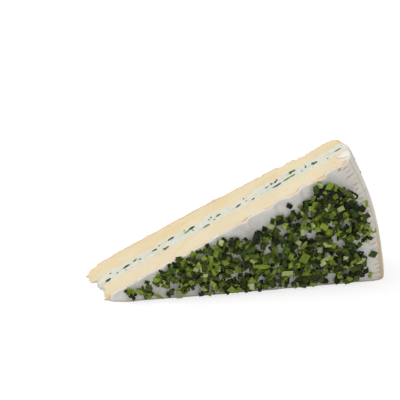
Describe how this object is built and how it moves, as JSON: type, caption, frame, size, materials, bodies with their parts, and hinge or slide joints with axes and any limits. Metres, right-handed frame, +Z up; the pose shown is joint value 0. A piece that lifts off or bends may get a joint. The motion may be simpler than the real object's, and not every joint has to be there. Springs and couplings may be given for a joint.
{
  "type": "brie wedge",
  "caption": "Wedge of soft brie lying on a cut face, with a cream and chive filling between two halves and chopped chives pressed on the white rind of one side.",
  "frame": {"origin": "middle of the bounding box in X and Y, on the lower cut face that the wedge lies on", "axes": "+X from the tip to the rim along the lower cut face, +Y through the thickness from the face with chives to the plain face, +Z up"},
  "size_m": [0.122, 0.037, 0.0544],
  "materials": {
    "brie": "soft cream-yellow paste inside a thin white bloomy rind",
    "filling": "crumbly pale cream cheese with specks of chive",
    "chives": "chopped fresh chives, moist and ribbed"
  },
  "bodies": {
    "root": {"brie_half_herbed": "brie", "chive_cream_filling": "filling", "brie_half_plain": "brie"}
  },
  "joints": []
}
